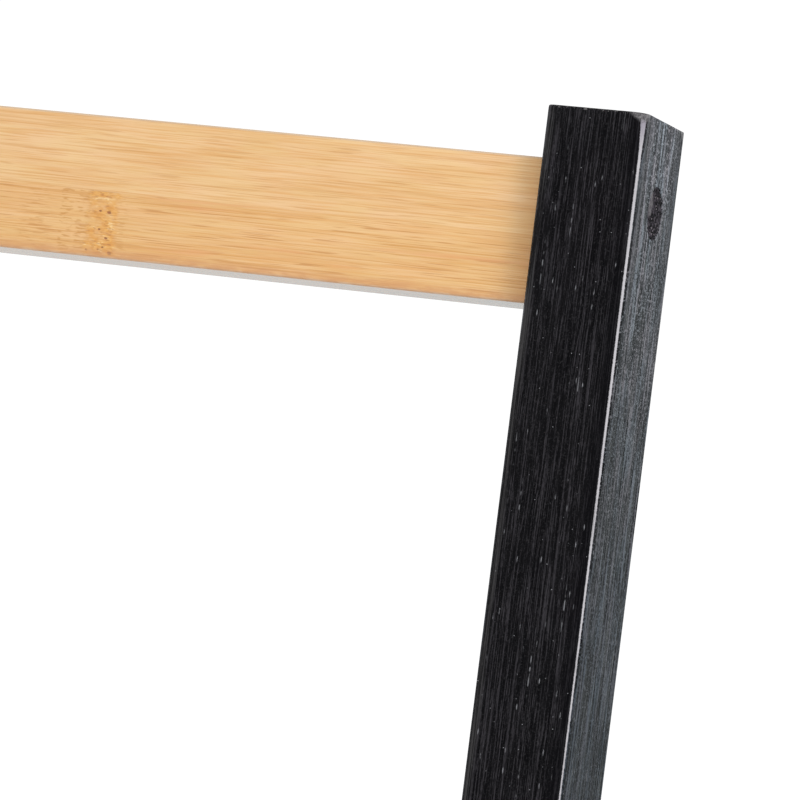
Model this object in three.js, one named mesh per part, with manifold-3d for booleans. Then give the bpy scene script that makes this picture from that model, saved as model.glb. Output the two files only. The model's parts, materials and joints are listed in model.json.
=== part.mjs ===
// A folding towel rack: a tall outer frame that leans back and a shorter inner frame that leans
// forward, crossed on a pivot bolt at each side and held open by a bevelled stop rail.
// Millimetres, +Z up. The front of the rack faces -Y and its rails run along X. The origin is on
// the floor, under the middle of the open rack.
import * as THREE from 'three';
import { mergeVertices } from 'three/addons/utils/BufferGeometryUtils.js';
import Module from 'manifold-3d';

const wasm = await Module();
wasm.setup();

// Driving dimensions
const rackWidth = 500; // over the outer uprights
const outerUprightLength = 900; // along its middle line, from the foot to the top end
const outerLeanDegrees = 21; // backwards, from the vertical
const innerLeanDegrees = 24; // forwards, from the vertical
const pivotDistance = 430; // along the outer upright, from its foot to the pivot bolt
const innerReach = 230; // along the inner upright, from the pivot bolt to its top end

// Uprights
const uprightWidth = 20; // across the front
const uprightDepth = 30; // front to back, square to the upright
const uprightEdgeRadius = 1.4; // long edges
const uprightEndRadius = 0.5; // edges round the top end

// Towel rails
const railHeight = 28.8;
const railThickness = 22;
const railEdgeRadius = 0.6; // edges of the front and back faces
const railCornerRadius = 1.2; // corners of the outline, seen from the front
const topRailDrop = 10; // from an upright's top end down to its top rail's upper edge
const secondRailSpacing = 190; // middle to middle, down from the outer top rail
const footRailRise = 75; // along the inner upright, from its foot up to the foot rail's middle
const screwRise = 6.4; // from a rail's middle up to its screw
const dowelDrop = 7.5; // from a rail's middle down to its dowel

// Stop rail, on the back faces of the outer uprights
const stopRailHeight = 30;
const stopRailThickness = 20;
const stopRailEdgeRadius = 1.8;
const stopRailCornerRadius = 2;
const stopBevelDepth = 14; // how far the bevel reaches back from the rail's front face

// Wood screws and the plugs that cover them
const screwHeadDiameter = 8.4;
const screwHeadHeight = 2.6;
const screwShankDiameter = 4.4;
const screwPointLength = 5;
const railScrewLength = 45; // under the head
const stopScrewLength = 32; // under the head
const plugDiameter = 10;
const plugLength = 5;
const plugRecess = 0.2; // below the face around it
const plugChamfer = 0.4;

// Locating dowels
const dowelDiameter = 6;
const dowelLength = 28;
const dowelDepthInUpright = 11;
const dowelChamfer = 0.7;

// Pivot: a flat-headed bolt in a sleeve nut, with a washer between the uprights
const pivotHeadDiameter = 15;
const pivotHeadHeight = 2.4;
const pivotHeadEdge = 0.6; // chamfer round the heads
const pivotHeadRecess = 0.5; // below the face around it
const pivotBoltDiameter = 6;
const pivotBoltLength = 27; // under the head
const pivotSleeveDiameter = 8;
const pivotSleeveEndGap = 1.2; // from the sleeve's end to the bolt's head
const pivotSocketSize = 4; // across the flats of the hexagon socket
const pivotSocketDepth = 1.6;
const washerDiameter = 18;
const washerThickness = 1.8;

// Foot pads
const padThickness = 3;
const padInset = 1.5; // inside the edges of the upright's foot
const padCornerRadius = 2;

// Clearances
const seatGap = 0.3; // between pieces that rest on or fit in one another
const holeGap = 0.3; // round a pin, plug or screw in its hole
const holeEndGap = 1; // past the end of a pin or screw in a blind hole
const cutOverrun = 1; // past the face that a cut starts from

// Numbers of facets
const cornerFacets = 3;
const edgeFacets = 2;
const roundFacets = 16;
const pinFacets = 12; // screws, dowels and their holes
const headFacets = 24;
const hexagonSides = 6;

// Worked out from the sizes above
const outerLean = THREE.MathUtils.degToRad(outerLeanDegrees);
const innerLean = THREE.MathUtils.degToRad(innerLeanDegrees);
const openAngle = outerLean + innerLean;
const halfDepth = uprightDepth / 2;
const footHeight = padThickness + seatGap;
const pivotHeight = footHeight + pivotDistance * Math.cos(outerLean);
const sideGap = washerThickness + 2 * seatGap;
const outerUprightX = rackWidth / 2 - uprightWidth / 2;
const innerUprightX = outerUprightX - uprightWidth - sideGap;
const plugHoleDiameter = plugDiameter + 2 * holeGap;
const plugHoleDepth = plugRecess + plugLength + seatGap + screwHeadHeight + seatGap;
const screwHeadStart = plugRecess + plugLength + seatGap;
const screwHoleDiameter = screwShankDiameter + 2 * holeGap;
const dowelHoleDiameter = dowelDiameter + 2 * holeGap;
const pivotHeadHoleDiameter = pivotHeadDiameter + 2 * holeGap;
const pivotHeadHoleDepth = pivotHeadRecess + pivotHeadHeight + seatGap;
const pivotHoleDiameter = pivotSleeveDiameter + 2 * holeGap;
const sleeveBoreDiameter = pivotBoltDiameter + 2 * holeGap;

const sides = [
  { name: 'left', sign: -1 },
  { name: 'right', sign: 1 },
];

// Each frame has its own axes: x across, y square to the uprights towards the back, z up along
// them, from the pivot. A positive lean is backwards.
const topRailStation = (top) => top - topRailDrop - railHeight / 2;
const outerTop = outerUprightLength - pivotDistance;
const innerFoot = (pivotHeight - footHeight) / Math.cos(innerLean);
const outerFrame = {
  name: 'outer',
  lean: outerLean,
  uprightX: outerUprightX,
  top: outerTop,
  foot: -pivotDistance,
  boltHeadSide: 1,
  rails: [
    { name: 'outer_top_rail', station: topRailStation(outerTop) },
    { name: 'outer_second_rail', station: topRailStation(outerTop) - secondRailSpacing },
  ],
};
const innerFrame = {
  name: 'inner',
  lean: -innerLean,
  uprightX: innerUprightX,
  top: innerReach,
  foot: -innerFoot,
  boltHeadSide: -1,
  rails: [
    { name: 'inner_top_rail', station: topRailStation(innerReach) },
    { name: 'inner_foot_rail', station: footRailRise - innerFoot },
  ],
};

// Stop rail's outline: its bevel lies on the back face of an open inner upright
const stopFront = halfDepth + seatGap;
const stopBack = stopFront + stopRailThickness;
const bevelStation = (y) => {
  return (halfDepth + seatGap - y * Math.cos(openAngle)) / Math.sin(openAngle);
};
const stopBottom = bevelStation(stopFront + stopBevelDepth);
const stopTop = stopBottom + stopRailHeight;
const stopScrewStation = (bevelStation(stopFront) + stopTop) / 2;

// Materials
function finish(color, roughness, metalness) {
  return new THREE.MeshStandardMaterial({ color, roughness, metalness });
}
const naturalBamboo = () => finish(0xe3b982, 0.5, 0);
const blackBamboo = () => finish(0x201e20, 0.45, 0);
const plugWood = () => finish(0x2b2424, 0.75, 0);
const paleDowel = () => finish(0xd8c39a, 0.7, 0);
const zincSteel = () => finish(0xb5b8ba, 0.35, 1);
const blackSteel = () => finish(0x2a2b2d, 0.4, 1);
const paleNylon = () => finish(0xd9d8d2, 0.5, 0);
const padRubber = () => finish(0x26282a, 0.85, 0);

// Turns a closed geometry into a solid that can be cut, and back
function toSolid(geometry) {
  const bare = geometry.clone();
  bare.deleteAttribute('normal');
  bare.deleteAttribute('uv');
  const merged = mergeVertices(bare);
  return new wasm.Manifold(new wasm.Mesh({
    numProp: 3,
    vertProperties: merged.attributes.position.array,
    triVerts: new Uint32Array(merged.index.array),
  }));
}

function toGeometry(solid) {
  const mesh = solid.getMesh();
  const geometry = new THREE.BufferGeometry();
  geometry.setAttribute('position', new THREE.BufferAttribute(mesh.vertProperties, 3));
  geometry.setIndex(new THREE.BufferAttribute(mesh.triVerts, 1));
  geometry.computeVertexNormals();
  return geometry;
}

function cutAll(geometry, cutters) {
  return toGeometry(cutters.reduce((solid, cutter) => solid.subtract(cutter), toSolid(geometry)));
}

// A closed outline through the given corners, anticlockwise, each rounded by the same radius
function roundedOutline(corners, radius) {
  const shape = new THREE.Shape();
  corners.forEach((corner, i) => {
    const before = corners[(i + corners.length - 1) % corners.length];
    const after = corners[(i + 1) % corners.length];
    const back = before.clone().sub(corner).normalize();
    const ahead = after.clone().sub(corner).normalize();
    const halfAngle = Math.acos(back.dot(ahead)) / 2;
    const start = back.clone().multiplyScalar(radius / Math.tan(halfAngle)).add(corner);
    const end = ahead.clone().multiplyScalar(radius / Math.tan(halfAngle)).add(corner);
    const centre = back.add(ahead).setLength(radius / Math.sin(halfAngle)).add(corner);
    if (i === 0) shape.moveTo(start.x, start.y);
    else shape.lineTo(start.x, start.y);
    const from = start.sub(centre).angle();
    const to = end.sub(centre).angle();
    shape.absarc(centre.x, centre.y, radius, from, to, false);
  });
  shape.closePath();
  return shape;
}

// A board of the given outline, centred on its own plane, with its long edges rounded
function board(outline, thickness, edgeRadius) {
  const geometry = new THREE.ExtrudeGeometry(outline, {
    depth: thickness - 2 * edgeRadius,
    curveSegments: cornerFacets,
    bevelEnabled: edgeRadius > 0,
    bevelThickness: edgeRadius,
    bevelSize: edgeRadius,
    bevelOffset: -edgeRadius,
    bevelSegments: edgeFacets,
  });
  return geometry.translate(0, 0, edgeRadius - thickness / 2);
}

// The board's outline plane becomes YZ, and its thickness runs along X
function standAcross(geometry) {
  const across = new THREE.Vector3(1, 0, 0);
  const back = new THREE.Vector3(0, 1, 0);
  const up = new THREE.Vector3(0, 0, 1);
  return geometry.applyMatrix4(new THREE.Matrix4().makeBasis(back, up, across));
}

// The board's outline plane becomes XZ, and its thickness runs along Y
function standFacing(geometry) {
  return geometry.rotateX(Math.PI / 2);
}

// A drilled hole that starts on a face at the point start and goes along direction
function drill(diameter, depth, start, direction, facets = roundFacets) {
  const length = depth + cutOverrun;
  const geometry = new THREE.CylinderGeometry(diameter / 2, diameter / 2, length, facets);
  const along = new THREE.Vector3(0, 1, 0);
  geometry.applyQuaternion(new THREE.Quaternion().setFromUnitVectors(along, direction));
  const middle = direction.clone().multiplyScalar(length / 2 - cutOverrun).add(start);
  return toSolid(geometry.translate(middle.x, middle.y, middle.z));
}

// A turned piece with its axis along Z, from pairs of radius and height
function turned(profile, facets = roundFacets) {
  const points = profile.map(([radius, height]) => new THREE.Vector2(radius, height));
  return new THREE.LatheGeometry(points, facets).rotateX(Math.PI / 2);
}

function makeMesh(name, geometry, material) {
  const mesh = new THREE.Mesh(geometry, material);
  mesh.name = name;
  return mesh;
}

// What the level cut takes from the lower end of an upright's stock
function footCutter(frame) {
  const size = 3 * uprightDepth;
  const geometry = new THREE.BoxGeometry(size, size, size).translate(0, 0, -size / 2);
  return toSolid(geometry.rotateX(frame.lean).translate(0, 0, frame.foot));
}

// One upright: cut level at the foot, square at the top, drilled for rails and pivot
function makeUpright(frame, side) {
  const section = roundedOutline([
    new THREE.Vector2(-uprightWidth / 2, -halfDepth),
    new THREE.Vector2(uprightWidth / 2, -halfDepth),
    new THREE.Vector2(uprightWidth / 2, halfDepth),
    new THREE.Vector2(-uprightWidth / 2, halfDepth),
  ], uprightEdgeRadius);
  const length = frame.top - frame.foot + uprightDepth;
  const body = board(section, length, uprightEndRadius).translate(0, 0, frame.top - length / 2);
  const outward = new THREE.Vector3(side.sign, 0, 0);
  const inward = outward.clone().negate();
  const onFace = (direction, station) => {
    return direction.clone().multiplyScalar(uprightWidth / 2).setZ(station);
  };
  const cutters = [footCutter(frame)];
  for (const rail of frame.rails) {
    const screwStart = onFace(outward, rail.station + screwRise);
    const dowelStart = onFace(inward, rail.station - dowelDrop);
    const through = uprightWidth + cutOverrun;
    const dowelHoleDepth = dowelDepthInUpright + holeEndGap;
    cutters.push(drill(plugHoleDiameter, plugHoleDepth, screwStart, inward));
    cutters.push(drill(screwHoleDiameter, through, screwStart, inward, pinFacets));
    cutters.push(drill(dowelHoleDiameter, dowelHoleDepth, dowelStart, outward, pinFacets));
  }
  const headFace = outward.clone().multiplyScalar(frame.boltHeadSide);
  const away = headFace.clone().negate();
  const pivotFace = onFace(headFace, 0);
  cutters.push(drill(pivotHeadHoleDiameter, pivotHeadHoleDepth, pivotFace, away, headFacets));
  cutters.push(drill(pivotHoleDiameter, uprightWidth + cutOverrun, pivotFace, away));
  if (frame === outerFrame) {
    const start = new THREE.Vector3(0, halfDepth, stopScrewStation);
    const depth = stopScrewDepth() + holeEndGap;
    cutters.push(drill(screwHoleDiameter, depth, start, forwards(), pinFacets));
  }
  const mesh = makeMesh(`${frame.name}_upright_${side.name}`, cutAll(body, cutters), blackBamboo());
  mesh.position.x = side.sign * frame.uprightX;
  return mesh;
}

function forwards() {
  return new THREE.Vector3(0, -1, 0);
}

// How far the stop rail's screw reaches past the back face of the outer upright
function stopScrewDepth() {
  const underHead = stopRailThickness - screwHeadStart - screwHeadHeight;
  return stopScrewLength - underHead - seatGap;
}

// One rail between two uprights, drilled at both ends for its screw and dowel
function makeRail(frame, rail) {
  const halfLength = frame.uprightX - uprightWidth / 2;
  const outline = roundedOutline([
    new THREE.Vector2(-halfLength, -railHeight / 2),
    new THREE.Vector2(halfLength, -railHeight / 2),
    new THREE.Vector2(halfLength, railHeight / 2),
    new THREE.Vector2(-halfLength, railHeight / 2),
  ], railCornerRadius);
  const body = standFacing(board(outline, railThickness, railEdgeRadius));
  const underHead = uprightWidth - screwHeadStart - screwHeadHeight;
  const cutters = [];
  for (const side of sides) {
    const inward = new THREE.Vector3(-side.sign, 0, 0);
    const screwStart = new THREE.Vector3(side.sign * halfLength, 0, screwRise);
    const dowelStart = new THREE.Vector3(side.sign * halfLength, 0, -dowelDrop);
    const screwHoleDepth = railScrewLength - underHead + holeEndGap;
    const dowelHoleDepth = dowelLength - dowelDepthInUpright + holeEndGap;
    cutters.push(drill(screwHoleDiameter, screwHoleDepth, screwStart, inward, pinFacets));
    cutters.push(drill(dowelHoleDiameter, dowelHoleDepth, dowelStart, inward, pinFacets));
  }
  const mesh = makeMesh(rail.name, cutAll(body, cutters), naturalBamboo());
  mesh.position.z = rail.station;
  return mesh;
}

function makeStopRail() {
  const outline = roundedOutline([
    new THREE.Vector2(stopFront, bevelStation(stopFront)),
    new THREE.Vector2(stopFront + stopBevelDepth, stopBottom),
    new THREE.Vector2(stopBack, stopBottom),
    new THREE.Vector2(stopBack, stopTop),
    new THREE.Vector2(stopFront, stopTop),
  ], stopRailCornerRadius);
  const body = standAcross(board(outline, rackWidth, stopRailEdgeRadius));
  const cutters = [];
  for (const side of sides) {
    const start = new THREE.Vector3(side.sign * outerUprightX, stopBack, stopScrewStation);
    cutters.push(drill(plugHoleDiameter, plugHoleDepth, start, forwards()));
    const through = stopRailThickness + cutOverrun;
    cutters.push(drill(screwHoleDiameter, through, start, forwards(), pinFacets));
  }
  return makeMesh('stop_rail', cutAll(body, cutters), naturalBamboo());
}

// Fasteners, with the outer face that they start from at z = 0 and their tips along +Z
function makeScrew(name, length) {
  const head = screwHeadDiameter / 2;
  const shank = screwShankDiameter / 2;
  const under = screwHeadStart + screwHeadHeight;
  const geometry = turned([
    [0, screwHeadStart],
    [head, screwHeadStart],
    [head, under],
    [shank, under],
    [shank, under + length - screwPointLength],
    [0, under + length],
  ], pinFacets);
  return makeMesh(name, geometry, zincSteel());
}

function makePlug(name) {
  const radius = plugDiameter / 2;
  const geometry = turned([
    [0, plugRecess],
    [radius, plugRecess],
    [radius, plugRecess + plugLength - plugChamfer],
    [radius - plugChamfer, plugRecess + plugLength],
    [0, plugRecess + plugLength],
  ]);
  return makeMesh(name, geometry, plugWood());
}

function makeDowel(name) {
  const radius = dowelDiameter / 2;
  const geometry = turned([
    [0, 0],
    [radius - dowelChamfer, 0],
    [radius, dowelChamfer],
    [radius, dowelLength - dowelChamfer],
    [radius - dowelChamfer, dowelLength],
    [0, dowelLength],
  ], pinFacets);
  return makeMesh(name, geometry, paleDowel());
}

function makePivotBolt(name) {
  const head = pivotHeadDiameter / 2;
  const shank = pivotBoltDiameter / 2;
  const under = pivotHeadRecess + pivotHeadHeight;
  const geometry = turned([
    [0, pivotHeadRecess],
    [head - pivotHeadEdge, pivotHeadRecess],
    [head, pivotHeadRecess + pivotHeadEdge],
    [head, under],
    [shank, under],
    [shank, under + pivotBoltLength],
    [0, under + pivotBoltLength],
  ], headFacets);
  return makeMesh(name, cutAll(geometry, [hexagonSocket()]), blackSteel());
}

function makeSleeveNut(name) {
  const head = pivotHeadDiameter / 2;
  const sleeve = pivotSleeveDiameter / 2;
  const under = pivotHeadRecess + pivotHeadHeight;
  const boltHeadSeat = 2 * uprightWidth + sideGap - under;
  const end = boltHeadSeat - pivotSleeveEndGap;
  const geometry = turned([
    [0, pivotHeadRecess],
    [head - pivotHeadEdge, pivotHeadRecess],
    [head, pivotHeadRecess + pivotHeadEdge],
    [head, under],
    [sleeve, under],
    [sleeve, end],
    [0, end],
  ], headFacets);
  const boreStart = new THREE.Vector3(0, 0, end);
  const boreDepth = end - under;
  const bore = drill(sleeveBoreDiameter, boreDepth, boreStart, new THREE.Vector3(0, 0, -1));
  return makeMesh(name, cutAll(geometry, [hexagonSocket(), bore]), blackSteel());
}

function hexagonSocket() {
  const acrossCorners = pivotSocketSize / Math.cos(Math.PI / hexagonSides);
  const start = new THREE.Vector3(0, 0, pivotHeadRecess);
  const inward = new THREE.Vector3(0, 0, 1);
  return drill(acrossCorners, pivotSocketDepth, start, inward, hexagonSides);
}

function makeWasher(name) {
  const geometry = turned([
    [0, 0],
    [washerDiameter / 2, 0],
    [washerDiameter / 2, washerThickness],
    [0, washerThickness],
  ], headFacets);
  const start = new THREE.Vector3(0, 0, 0);
  const through = washerThickness + cutOverrun;
  const hole = drill(pivotHoleDiameter, through, start, new THREE.Vector3(0, 0, 1));
  return makeMesh(name, cutAll(geometry, [hole]), paleNylon());
}

// A pad under an upright's foot, flat on the floor
function makeFootPad(frame, side) {
  const halfX = uprightWidth / 2 - padInset;
  const halfY = halfDepth / Math.cos(frame.lean) - padInset;
  const outline = roundedOutline([
    new THREE.Vector2(-halfX, -halfY),
    new THREE.Vector2(halfX, -halfY),
    new THREE.Vector2(halfX, halfY),
    new THREE.Vector2(-halfX, halfY),
  ], padCornerRadius);
  const geometry = new THREE.ExtrudeGeometry(outline, {
    depth: padThickness,
    curveSegments: cornerFacets,
    bevelEnabled: false,
  });
  const mesh = makeMesh(`${frame.name}_foot_pad_${side.name}`, geometry, padRubber());
  mesh.position.x = side.sign * frame.uprightX;
  mesh.position.y = frame.foot * Math.sin(frame.lean);
  return mesh;
}

// Points a fastener inward along X from the given face of the frame
function enterFromSide(mesh, direction, x, station) {
  mesh.rotation.y = direction * Math.PI / 2;
  mesh.position.set(x, 0, station);
  return mesh;
}

// A frame with its uprights, rails and rail fasteners
function makeFrame(frame) {
  const group = new THREE.Group();
  for (const side of sides) group.add(makeUpright(frame, side));
  for (const rail of frame.rails) {
    group.add(makeRail(frame, rail));
    for (const side of sides) {
      const outerFace = side.sign * (frame.uprightX + uprightWidth / 2);
      const innerFace = side.sign * (frame.uprightX - uprightWidth / 2);
      const dowelStart = innerFace + side.sign * dowelDepthInUpright;
      const screw = makeScrew(`${rail.name}_screw_${side.name}`, railScrewLength);
      const plug = makePlug(`${rail.name}_plug_${side.name}`);
      const dowel = makeDowel(`${rail.name}_dowel_${side.name}`);
      group.add(enterFromSide(screw, -side.sign, outerFace, rail.station + screwRise));
      group.add(enterFromSide(plug, -side.sign, outerFace, rail.station + screwRise));
      group.add(enterFromSide(dowel, -side.sign, dowelStart, rail.station - dowelDrop));
    }
  }
  group.rotation.x = -frame.lean;
  group.position.z = pivotHeight;
  return group;
}

// The stop rail with its screws and plugs, and the two pivots: all are carried by the outer frame
function addStopRail(group) {
  group.add(makeStopRail());
  for (const side of sides) {
    const screw = makeScrew(`stop_rail_screw_${side.name}`, stopScrewLength);
    const plug = makePlug(`stop_rail_plug_${side.name}`);
    for (const mesh of [screw, plug]) {
      mesh.rotation.x = Math.PI / 2;
      mesh.position.set(side.sign * outerUprightX, stopBack, stopScrewStation);
      group.add(mesh);
    }
  }
}

function addPivots(group) {
  for (const side of sides) {
    const outerFace = side.sign * (outerUprightX + uprightWidth / 2);
    const innerFace = side.sign * (innerUprightX - uprightWidth / 2);
    const washerFace = side.sign * (outerUprightX - uprightWidth / 2 - seatGap);
    const bolt = makePivotBolt(`pivot_bolt_${side.name}`);
    const nut = makeSleeveNut(`pivot_sleeve_nut_${side.name}`);
    const washer = makeWasher(`pivot_washer_${side.name}`);
    group.add(enterFromSide(bolt, -side.sign, outerFace, 0));
    group.add(enterFromSide(nut, side.sign, innerFace, 0));
    group.add(enterFromSide(washer, -side.sign, washerFace, 0));
  }
}

const rack = new THREE.Group();
const outerGroup = makeFrame(outerFrame);
addStopRail(outerGroup);
addPivots(outerGroup);
rack.add(outerGroup, makeFrame(innerFrame));
for (const frame of [outerFrame, innerFrame]) {
  for (const side of sides) rack.add(makeFootPad(frame, side));
}

// The middle of the rack's depth comes over the origin
const extent = new THREE.Box3().setFromObject(rack, true);
const towelRack = new THREE.Group();
rack.position.y = -(extent.min.y + extent.max.y) / 2;
towelRack.add(rack);

export default towelRack;
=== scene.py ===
import json
import math

import bpy
from mathutils import Matrix, Vector

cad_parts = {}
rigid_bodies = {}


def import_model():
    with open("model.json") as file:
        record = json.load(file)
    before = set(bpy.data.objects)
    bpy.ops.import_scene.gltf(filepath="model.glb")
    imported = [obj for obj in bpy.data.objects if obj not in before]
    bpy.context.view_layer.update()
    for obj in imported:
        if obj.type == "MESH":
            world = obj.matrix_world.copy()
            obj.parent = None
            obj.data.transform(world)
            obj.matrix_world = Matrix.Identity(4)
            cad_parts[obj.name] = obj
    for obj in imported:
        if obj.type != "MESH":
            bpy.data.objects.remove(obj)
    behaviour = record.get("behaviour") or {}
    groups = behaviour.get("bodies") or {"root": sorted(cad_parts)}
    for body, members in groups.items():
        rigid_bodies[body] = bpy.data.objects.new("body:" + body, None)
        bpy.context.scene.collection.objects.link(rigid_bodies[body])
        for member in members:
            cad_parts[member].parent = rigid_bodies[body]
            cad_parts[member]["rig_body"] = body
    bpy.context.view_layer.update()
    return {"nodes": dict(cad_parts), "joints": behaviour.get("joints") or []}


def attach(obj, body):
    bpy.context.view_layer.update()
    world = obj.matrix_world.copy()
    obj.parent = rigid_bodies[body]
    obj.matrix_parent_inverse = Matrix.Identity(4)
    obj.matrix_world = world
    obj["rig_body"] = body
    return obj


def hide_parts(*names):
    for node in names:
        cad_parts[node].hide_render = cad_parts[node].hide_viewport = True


# The looks of the folding towel rack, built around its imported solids.
# Metres, +Z up, the rack's front at -Y. Lengths are given in millimetres times MM.
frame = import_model()

MM = 0.001
PIVOT = Vector(frame["joints"][0]["pos_m"])

# Sizes of the wooden members, as in the solids
UPRIGHT_X = {"outer": 240 * MM, "inner": 217.6 * MM}
UPRIGHT_TOP = {"outer": 470 * MM, "inner": 230 * MM}
LEAN = {"outer": math.radians(21), "inner": math.radians(-24)}
UPRIGHT_WIDTH, UPRIGHT_DEPTH = 20 * MM, 30 * MM
UPRIGHT_EDGE, UPRIGHT_INNER_EDGE, UPRIGHT_BACK_EDGE = 1.4 * MM, 1.1 * MM, 0.8 * MM
TOP_EDGE, TOP_SIDE_EDGE, FOOT_EDGE = 0.65 * MM, 0.25 * MM, 1.2 * MM
FOOT_HEIGHT = 3.3 * MM
RAIL_HEIGHT, RAIL_THICKNESS = 28.8 * MM, 22 * MM
RAIL_EDGE, RAIL_CORNER = 0.6 * MM, 1.2 * MM
TOP_RAIL_DROP, SECOND_RAIL_SPACING, FOOT_RAIL_RISE = 10 * MM, 190 * MM, 75 * MM
SCREW_RISE, DOWEL_DROP = 6.4 * MM, 7.5 * MM
STOP_RAIL_HEIGHT, STOP_RAIL_THICKNESS, STOP_BEVEL_DEPTH = 30 * MM, 20 * MM, 14 * MM
STOP_EDGE, STOP_CORNER = 1.8 * MM, 2 * MM
SEAT_GAP = 0.3 * MM

# An upright's sanded top corner: the reach of a slow and a quick rounding, the radius that each adds, and how
# far below the top, in millimetres, the rings that follow them lie
SANDED_REACH, SANDED_EXTRA = (6 * MM, 3 * MM), (0.5 * MM, 0.9 * MM)
SANDED_RINGS = (60, 30, 20, 14, 10, 7, 5, 4, 3, 2.4, 1.8, 1.3, 0.9)

# Holes, plugs and pivots
PLUG_HOLE, PLUG_HOLE_DEPTH = 10.6 * MM, 8.4 * MM
SCREW_HOLE, DOWEL_HOLE, PIVOT_HOLE, HEAD_HOLE = 5 * MM, 6.6 * MM, 8.6 * MM, 15.6 * MM
HEAD_HOLE_DEPTH = 3.2 * MM
DOWEL_HOLE_IN_UPRIGHT, DOWEL_HOLE_IN_RAIL = 12 * MM, 18 * MM
SCREW_HOLE_IN_RAIL, STOP_SCREW_HOLE = 34.1 * MM, 20.8 * MM
PLUG_RADIUS, PLUG_LENGTH, PLUG_RECESS, PLUG_EDGE = 5.15 * MM, 5 * MM, 0.14 * MM, 0.25 * MM
# Waves round a plug's rim, how far its seed turns them, and their share of its radius
PLUG_WOBBLE = ((3, 1, 0.010), (7, 2, 0.008), (17, 0, 0.006))
HEAD_DIAMETER, HEAD_HEIGHT, HEAD_RECESS, HEAD_EDGE = 15 * MM, 2.4 * MM, 0.5 * MM, 0.6 * MM
UNDER_HEAD = HEAD_RECESS + HEAD_HEIGHT
BOLT_DIAMETER, BOLT_LENGTH, SHANK_TIP = 6 * MM, 27 * MM, 0.4 * MM
SLEEVE_DIAMETER, SLEEVE_END = 8 * MM, 38.3 * MM
SOCKET_ACROSS_CORNERS, SOCKET_DEPTH, SOCKET_SIDES = 4.62 * MM, 1.6 * MM, 6
WASHER_DIAMETER, WASHER_THICKNESS, WASHER_EDGE = 18 * MM, 1.8 * MM, 0.2 * MM
PAD_THICKNESS, PAD_INSET, PAD_CORNER, PAD_EDGE = 3 * MM, 1.5 * MM, 2 * MM, 0.4 * MM
OVERRUN = 1 * MM

CORNER_STEPS, END_STEPS, ROUND_STEPS, HOLE_STEPS = 8, 5, 64, 48
SMOOTH_ANGLE, FLAT_FACE_WEIGHT = math.radians(35), 100
SIDES = {"left": -1, "right": 1}
FRAMES = ("outer", "inner")
POSTS = [(name, side) for name in FRAMES for side in SIDES]


# Shapes


def across(lean):
    """The axes of a leaning frame: X across, Y square to its uprights, Z up along them, from the pivot."""
    return Matrix.Translation(PIVOT) @ Matrix.Rotation(-lean, 4, "X")


def inset_corners(corners, insets):
    """A convex outline's corners when each side moves inwards by its own distance."""
    lines = []
    for i, corner in enumerate(corners):
        along = (corners[(i + 1) % len(corners)] - corner).normalized()
        lines.append((corner + Vector((-along.y, along.x)) * insets[i], along))
    moved = []
    for i, (point, along) in enumerate(lines):
        before, direction = lines[i - 1]
        gap = point - before
        step = (gap.x * along.y - gap.y * along.x) / (direction.x * along.y - direction.y * along.x)
        moved.append(before + direction * step)
    return moved


def rounded_ring(corners, radii):
    """Points round a convex outline, anticlockwise, with an arc at each corner."""
    ring = []
    for i, corner in enumerate(corners):
        back = (corners[i - 1] - corner).normalized()
        ahead = (corners[(i + 1) % len(corners)] - corner).normalized()
        half, radius = back.angle(ahead) / 2, radii[i]
        centre = corner + (back + ahead).normalized() * (radius / math.sin(half))
        start = corner + back * (radius / math.tan(half)) - centre
        end = corner + ahead * (radius / math.tan(half)) - centre
        first = math.atan2(start.y, start.x)
        turn = (math.atan2(end.y, end.x) - first) % math.tau
        for k in range(CORNER_STEPS + 1):
            angle = first + turn * k / CORNER_STEPS
            ring.append(centre + Vector((math.cos(angle), math.sin(angle))) * radius)
    return ring


def box_corners(x, y):
    """The corners of a rectangle about the middle, anticlockwise, from half its sides."""
    return [Vector(c) for c in ((-x, -y), (x, -y), (x, y), (-x, y))]


def end_rounding(radius):
    """Pairs of distance from an end and inset there, for a quarter round."""
    angles = [math.pi / 2 * k / END_STEPS for k in range(END_STEPS + 1)]
    return [(radius * (1 - math.cos(a)), radius * (1 - math.sin(a))) for a in angles]


def drawn_in(distance, radius):
    """The inset of a quarter round at a distance from the end."""
    short = max(0.0, radius - distance)
    return radius - math.sqrt(radius * radius - short * short)


def from_both_ends(low, high, steps):
    """Pairs of place and inset along a member, from steps in from each of its ends."""
    return [(low + d, inset) for d, inset in steps] + [(high - d, inset) for d, inset in reversed(steps)]


def linked(name, data):
    """A new object in the scene."""
    made = bpy.data.objects.new(name, data)
    bpy.context.scene.collection.objects.link(made)
    return made


def new_mesh(name, points, faces):
    mesh = bpy.data.meshes.new(name)
    mesh.from_pydata([tuple(p) for p in points], [], faces)
    mesh.validate()
    return linked(name, mesh)


def band(start, steps):
    """The faces between a ring of points and the next one, from the number of its first point."""
    around = [(k, (k + 1) % steps) for k in range(steps)]
    return [(start + k, start + j, start + steps + j, start + steps + k) for k, j in around]


def loft(name, rings):
    """A closed solid through rings of equal numbers of points, with flat ends."""
    points = [p for ring in rings for p in ring]
    count = len(rings[0])
    last = len(points) - count
    faces = [tuple(reversed(range(count)))]
    for start in range(0, last, count):
        faces += band(start, count)
    faces.append(tuple(range(last, len(points))))
    return new_mesh(name, points, faces)


def circle(radius, steps, height=0, wobble=None):
    """Points round the Z axis, with a wobble as a share of the radius at each angle."""
    points = []
    for k in range(steps):
        angle = math.tau * k / steps
        r = radius * (1 + wobble(angle)) if wobble else radius
        points.append(Vector((r * math.cos(angle), r * math.sin(angle), height)))
    return points


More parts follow.
